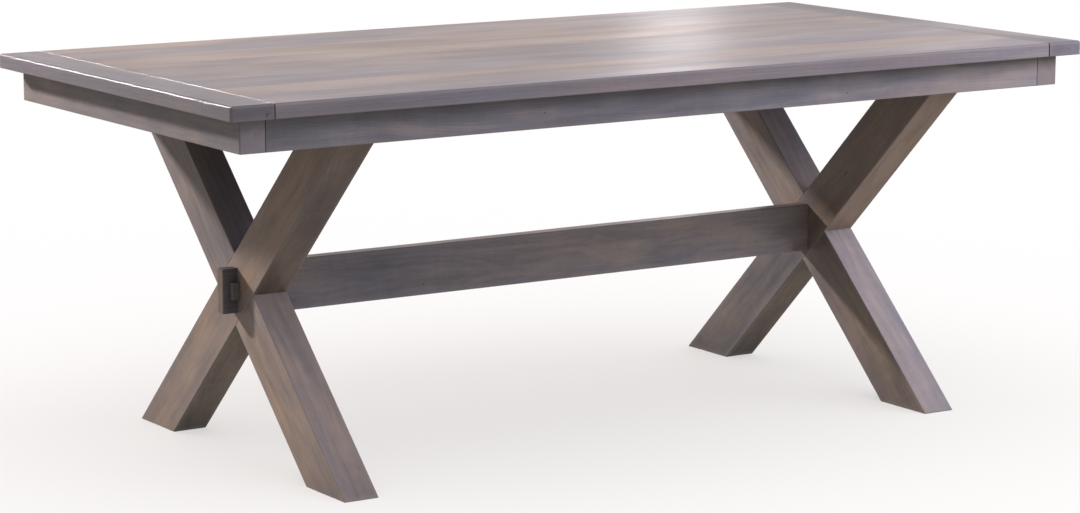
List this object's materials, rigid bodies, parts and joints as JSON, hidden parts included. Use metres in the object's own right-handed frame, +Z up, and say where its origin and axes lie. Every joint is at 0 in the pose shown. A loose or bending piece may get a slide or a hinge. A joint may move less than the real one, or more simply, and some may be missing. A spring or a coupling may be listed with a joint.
{
  "type": "sawbuck table",
  "caption": "Rectangular sawbuck dining table: breadboard-ended plank top and low apron on crossed-leg trestles, tied by a stretcher held with tusk keys; grey-stained wood.",
  "frame": {"origin": "on the floor, under the middle of the table top", "axes": "+X along the table to the right-hand end, +Y across it to the back, +Z up from the floor"},
  "size_m": [1.972, 0.992, 0.762],
  "materials": {
    "top_maple": "grey-brown stained soft maple, satin lacquer",
    "frame_maple": "grey-brown stained soft maple, satin lacquer",
    "inner_maple": "soft maple with a thin wash of stain, unpolished",
    "dowel_birch": "plain turned birch",
    "zinc_steel": "zinc-plated steel"
  },
  "bodies": {
    "table": {"top_board_1": "top_maple", "top_board_2": "top_maple", "top_board_3": "top_maple", "top_board_4": "top_maple", "top_board_5": "top_maple", "top_board_6": "top_maple", "top_board_7": "top_maple", "top_board_8": "top_maple", "breadboard_left": "top_maple", "breadboard_right": "top_maple", "end_apron_left": "frame_maple", "end_apron_right": "frame_maple", "side_apron_front": "frame_maple", "side_apron_back": "frame_maple", "left_front_leg": "frame_maple", "left_back_leg": "frame_maple", "right_front_leg": "frame_maple", "right_back_leg": "frame_maple", "stretcher": "frame_maple", "cleat_left": "inner_maple", "cleat_right": "inner_maple", "corner_block_front_left": "inner_maple", "corner_block_front_right": "inner_maple", "corner_block_back_left": "inner_maple", "corner_block_back_right": "inner_maple", "top_buttons": "inner_maple", "breadboard_pegs_left": "dowel_birch", "breadboard_pegs_right": "dowel_birch", "apron_dowels": "dowel_birch", "corner_block_screws": "zinc_steel", "button_screws": "zinc_steel", "cleat_screws": "zinc_steel", "cleat_washers": "zinc_steel", "leg_lag_screws": "zinc_steel", "leg_lag_washers": "zinc_steel"},
    "left_tusk": {"left_key": "frame_maple"},
    "right_tusk": {"right_key": "frame_maple"}
  },
  "joints": [
    {"name": "left_key_slide", "type": "slide", "parent": "table", "child": "left_tusk", "axis": [0, -1, 0], "range_m": [0, 0.031]},
    {"name": "right_key_slide", "type": "slide", "parent": "table", "child": "right_tusk", "axis": [0, -1, 0], "range_m": [0, 0.031]}
  ]
}
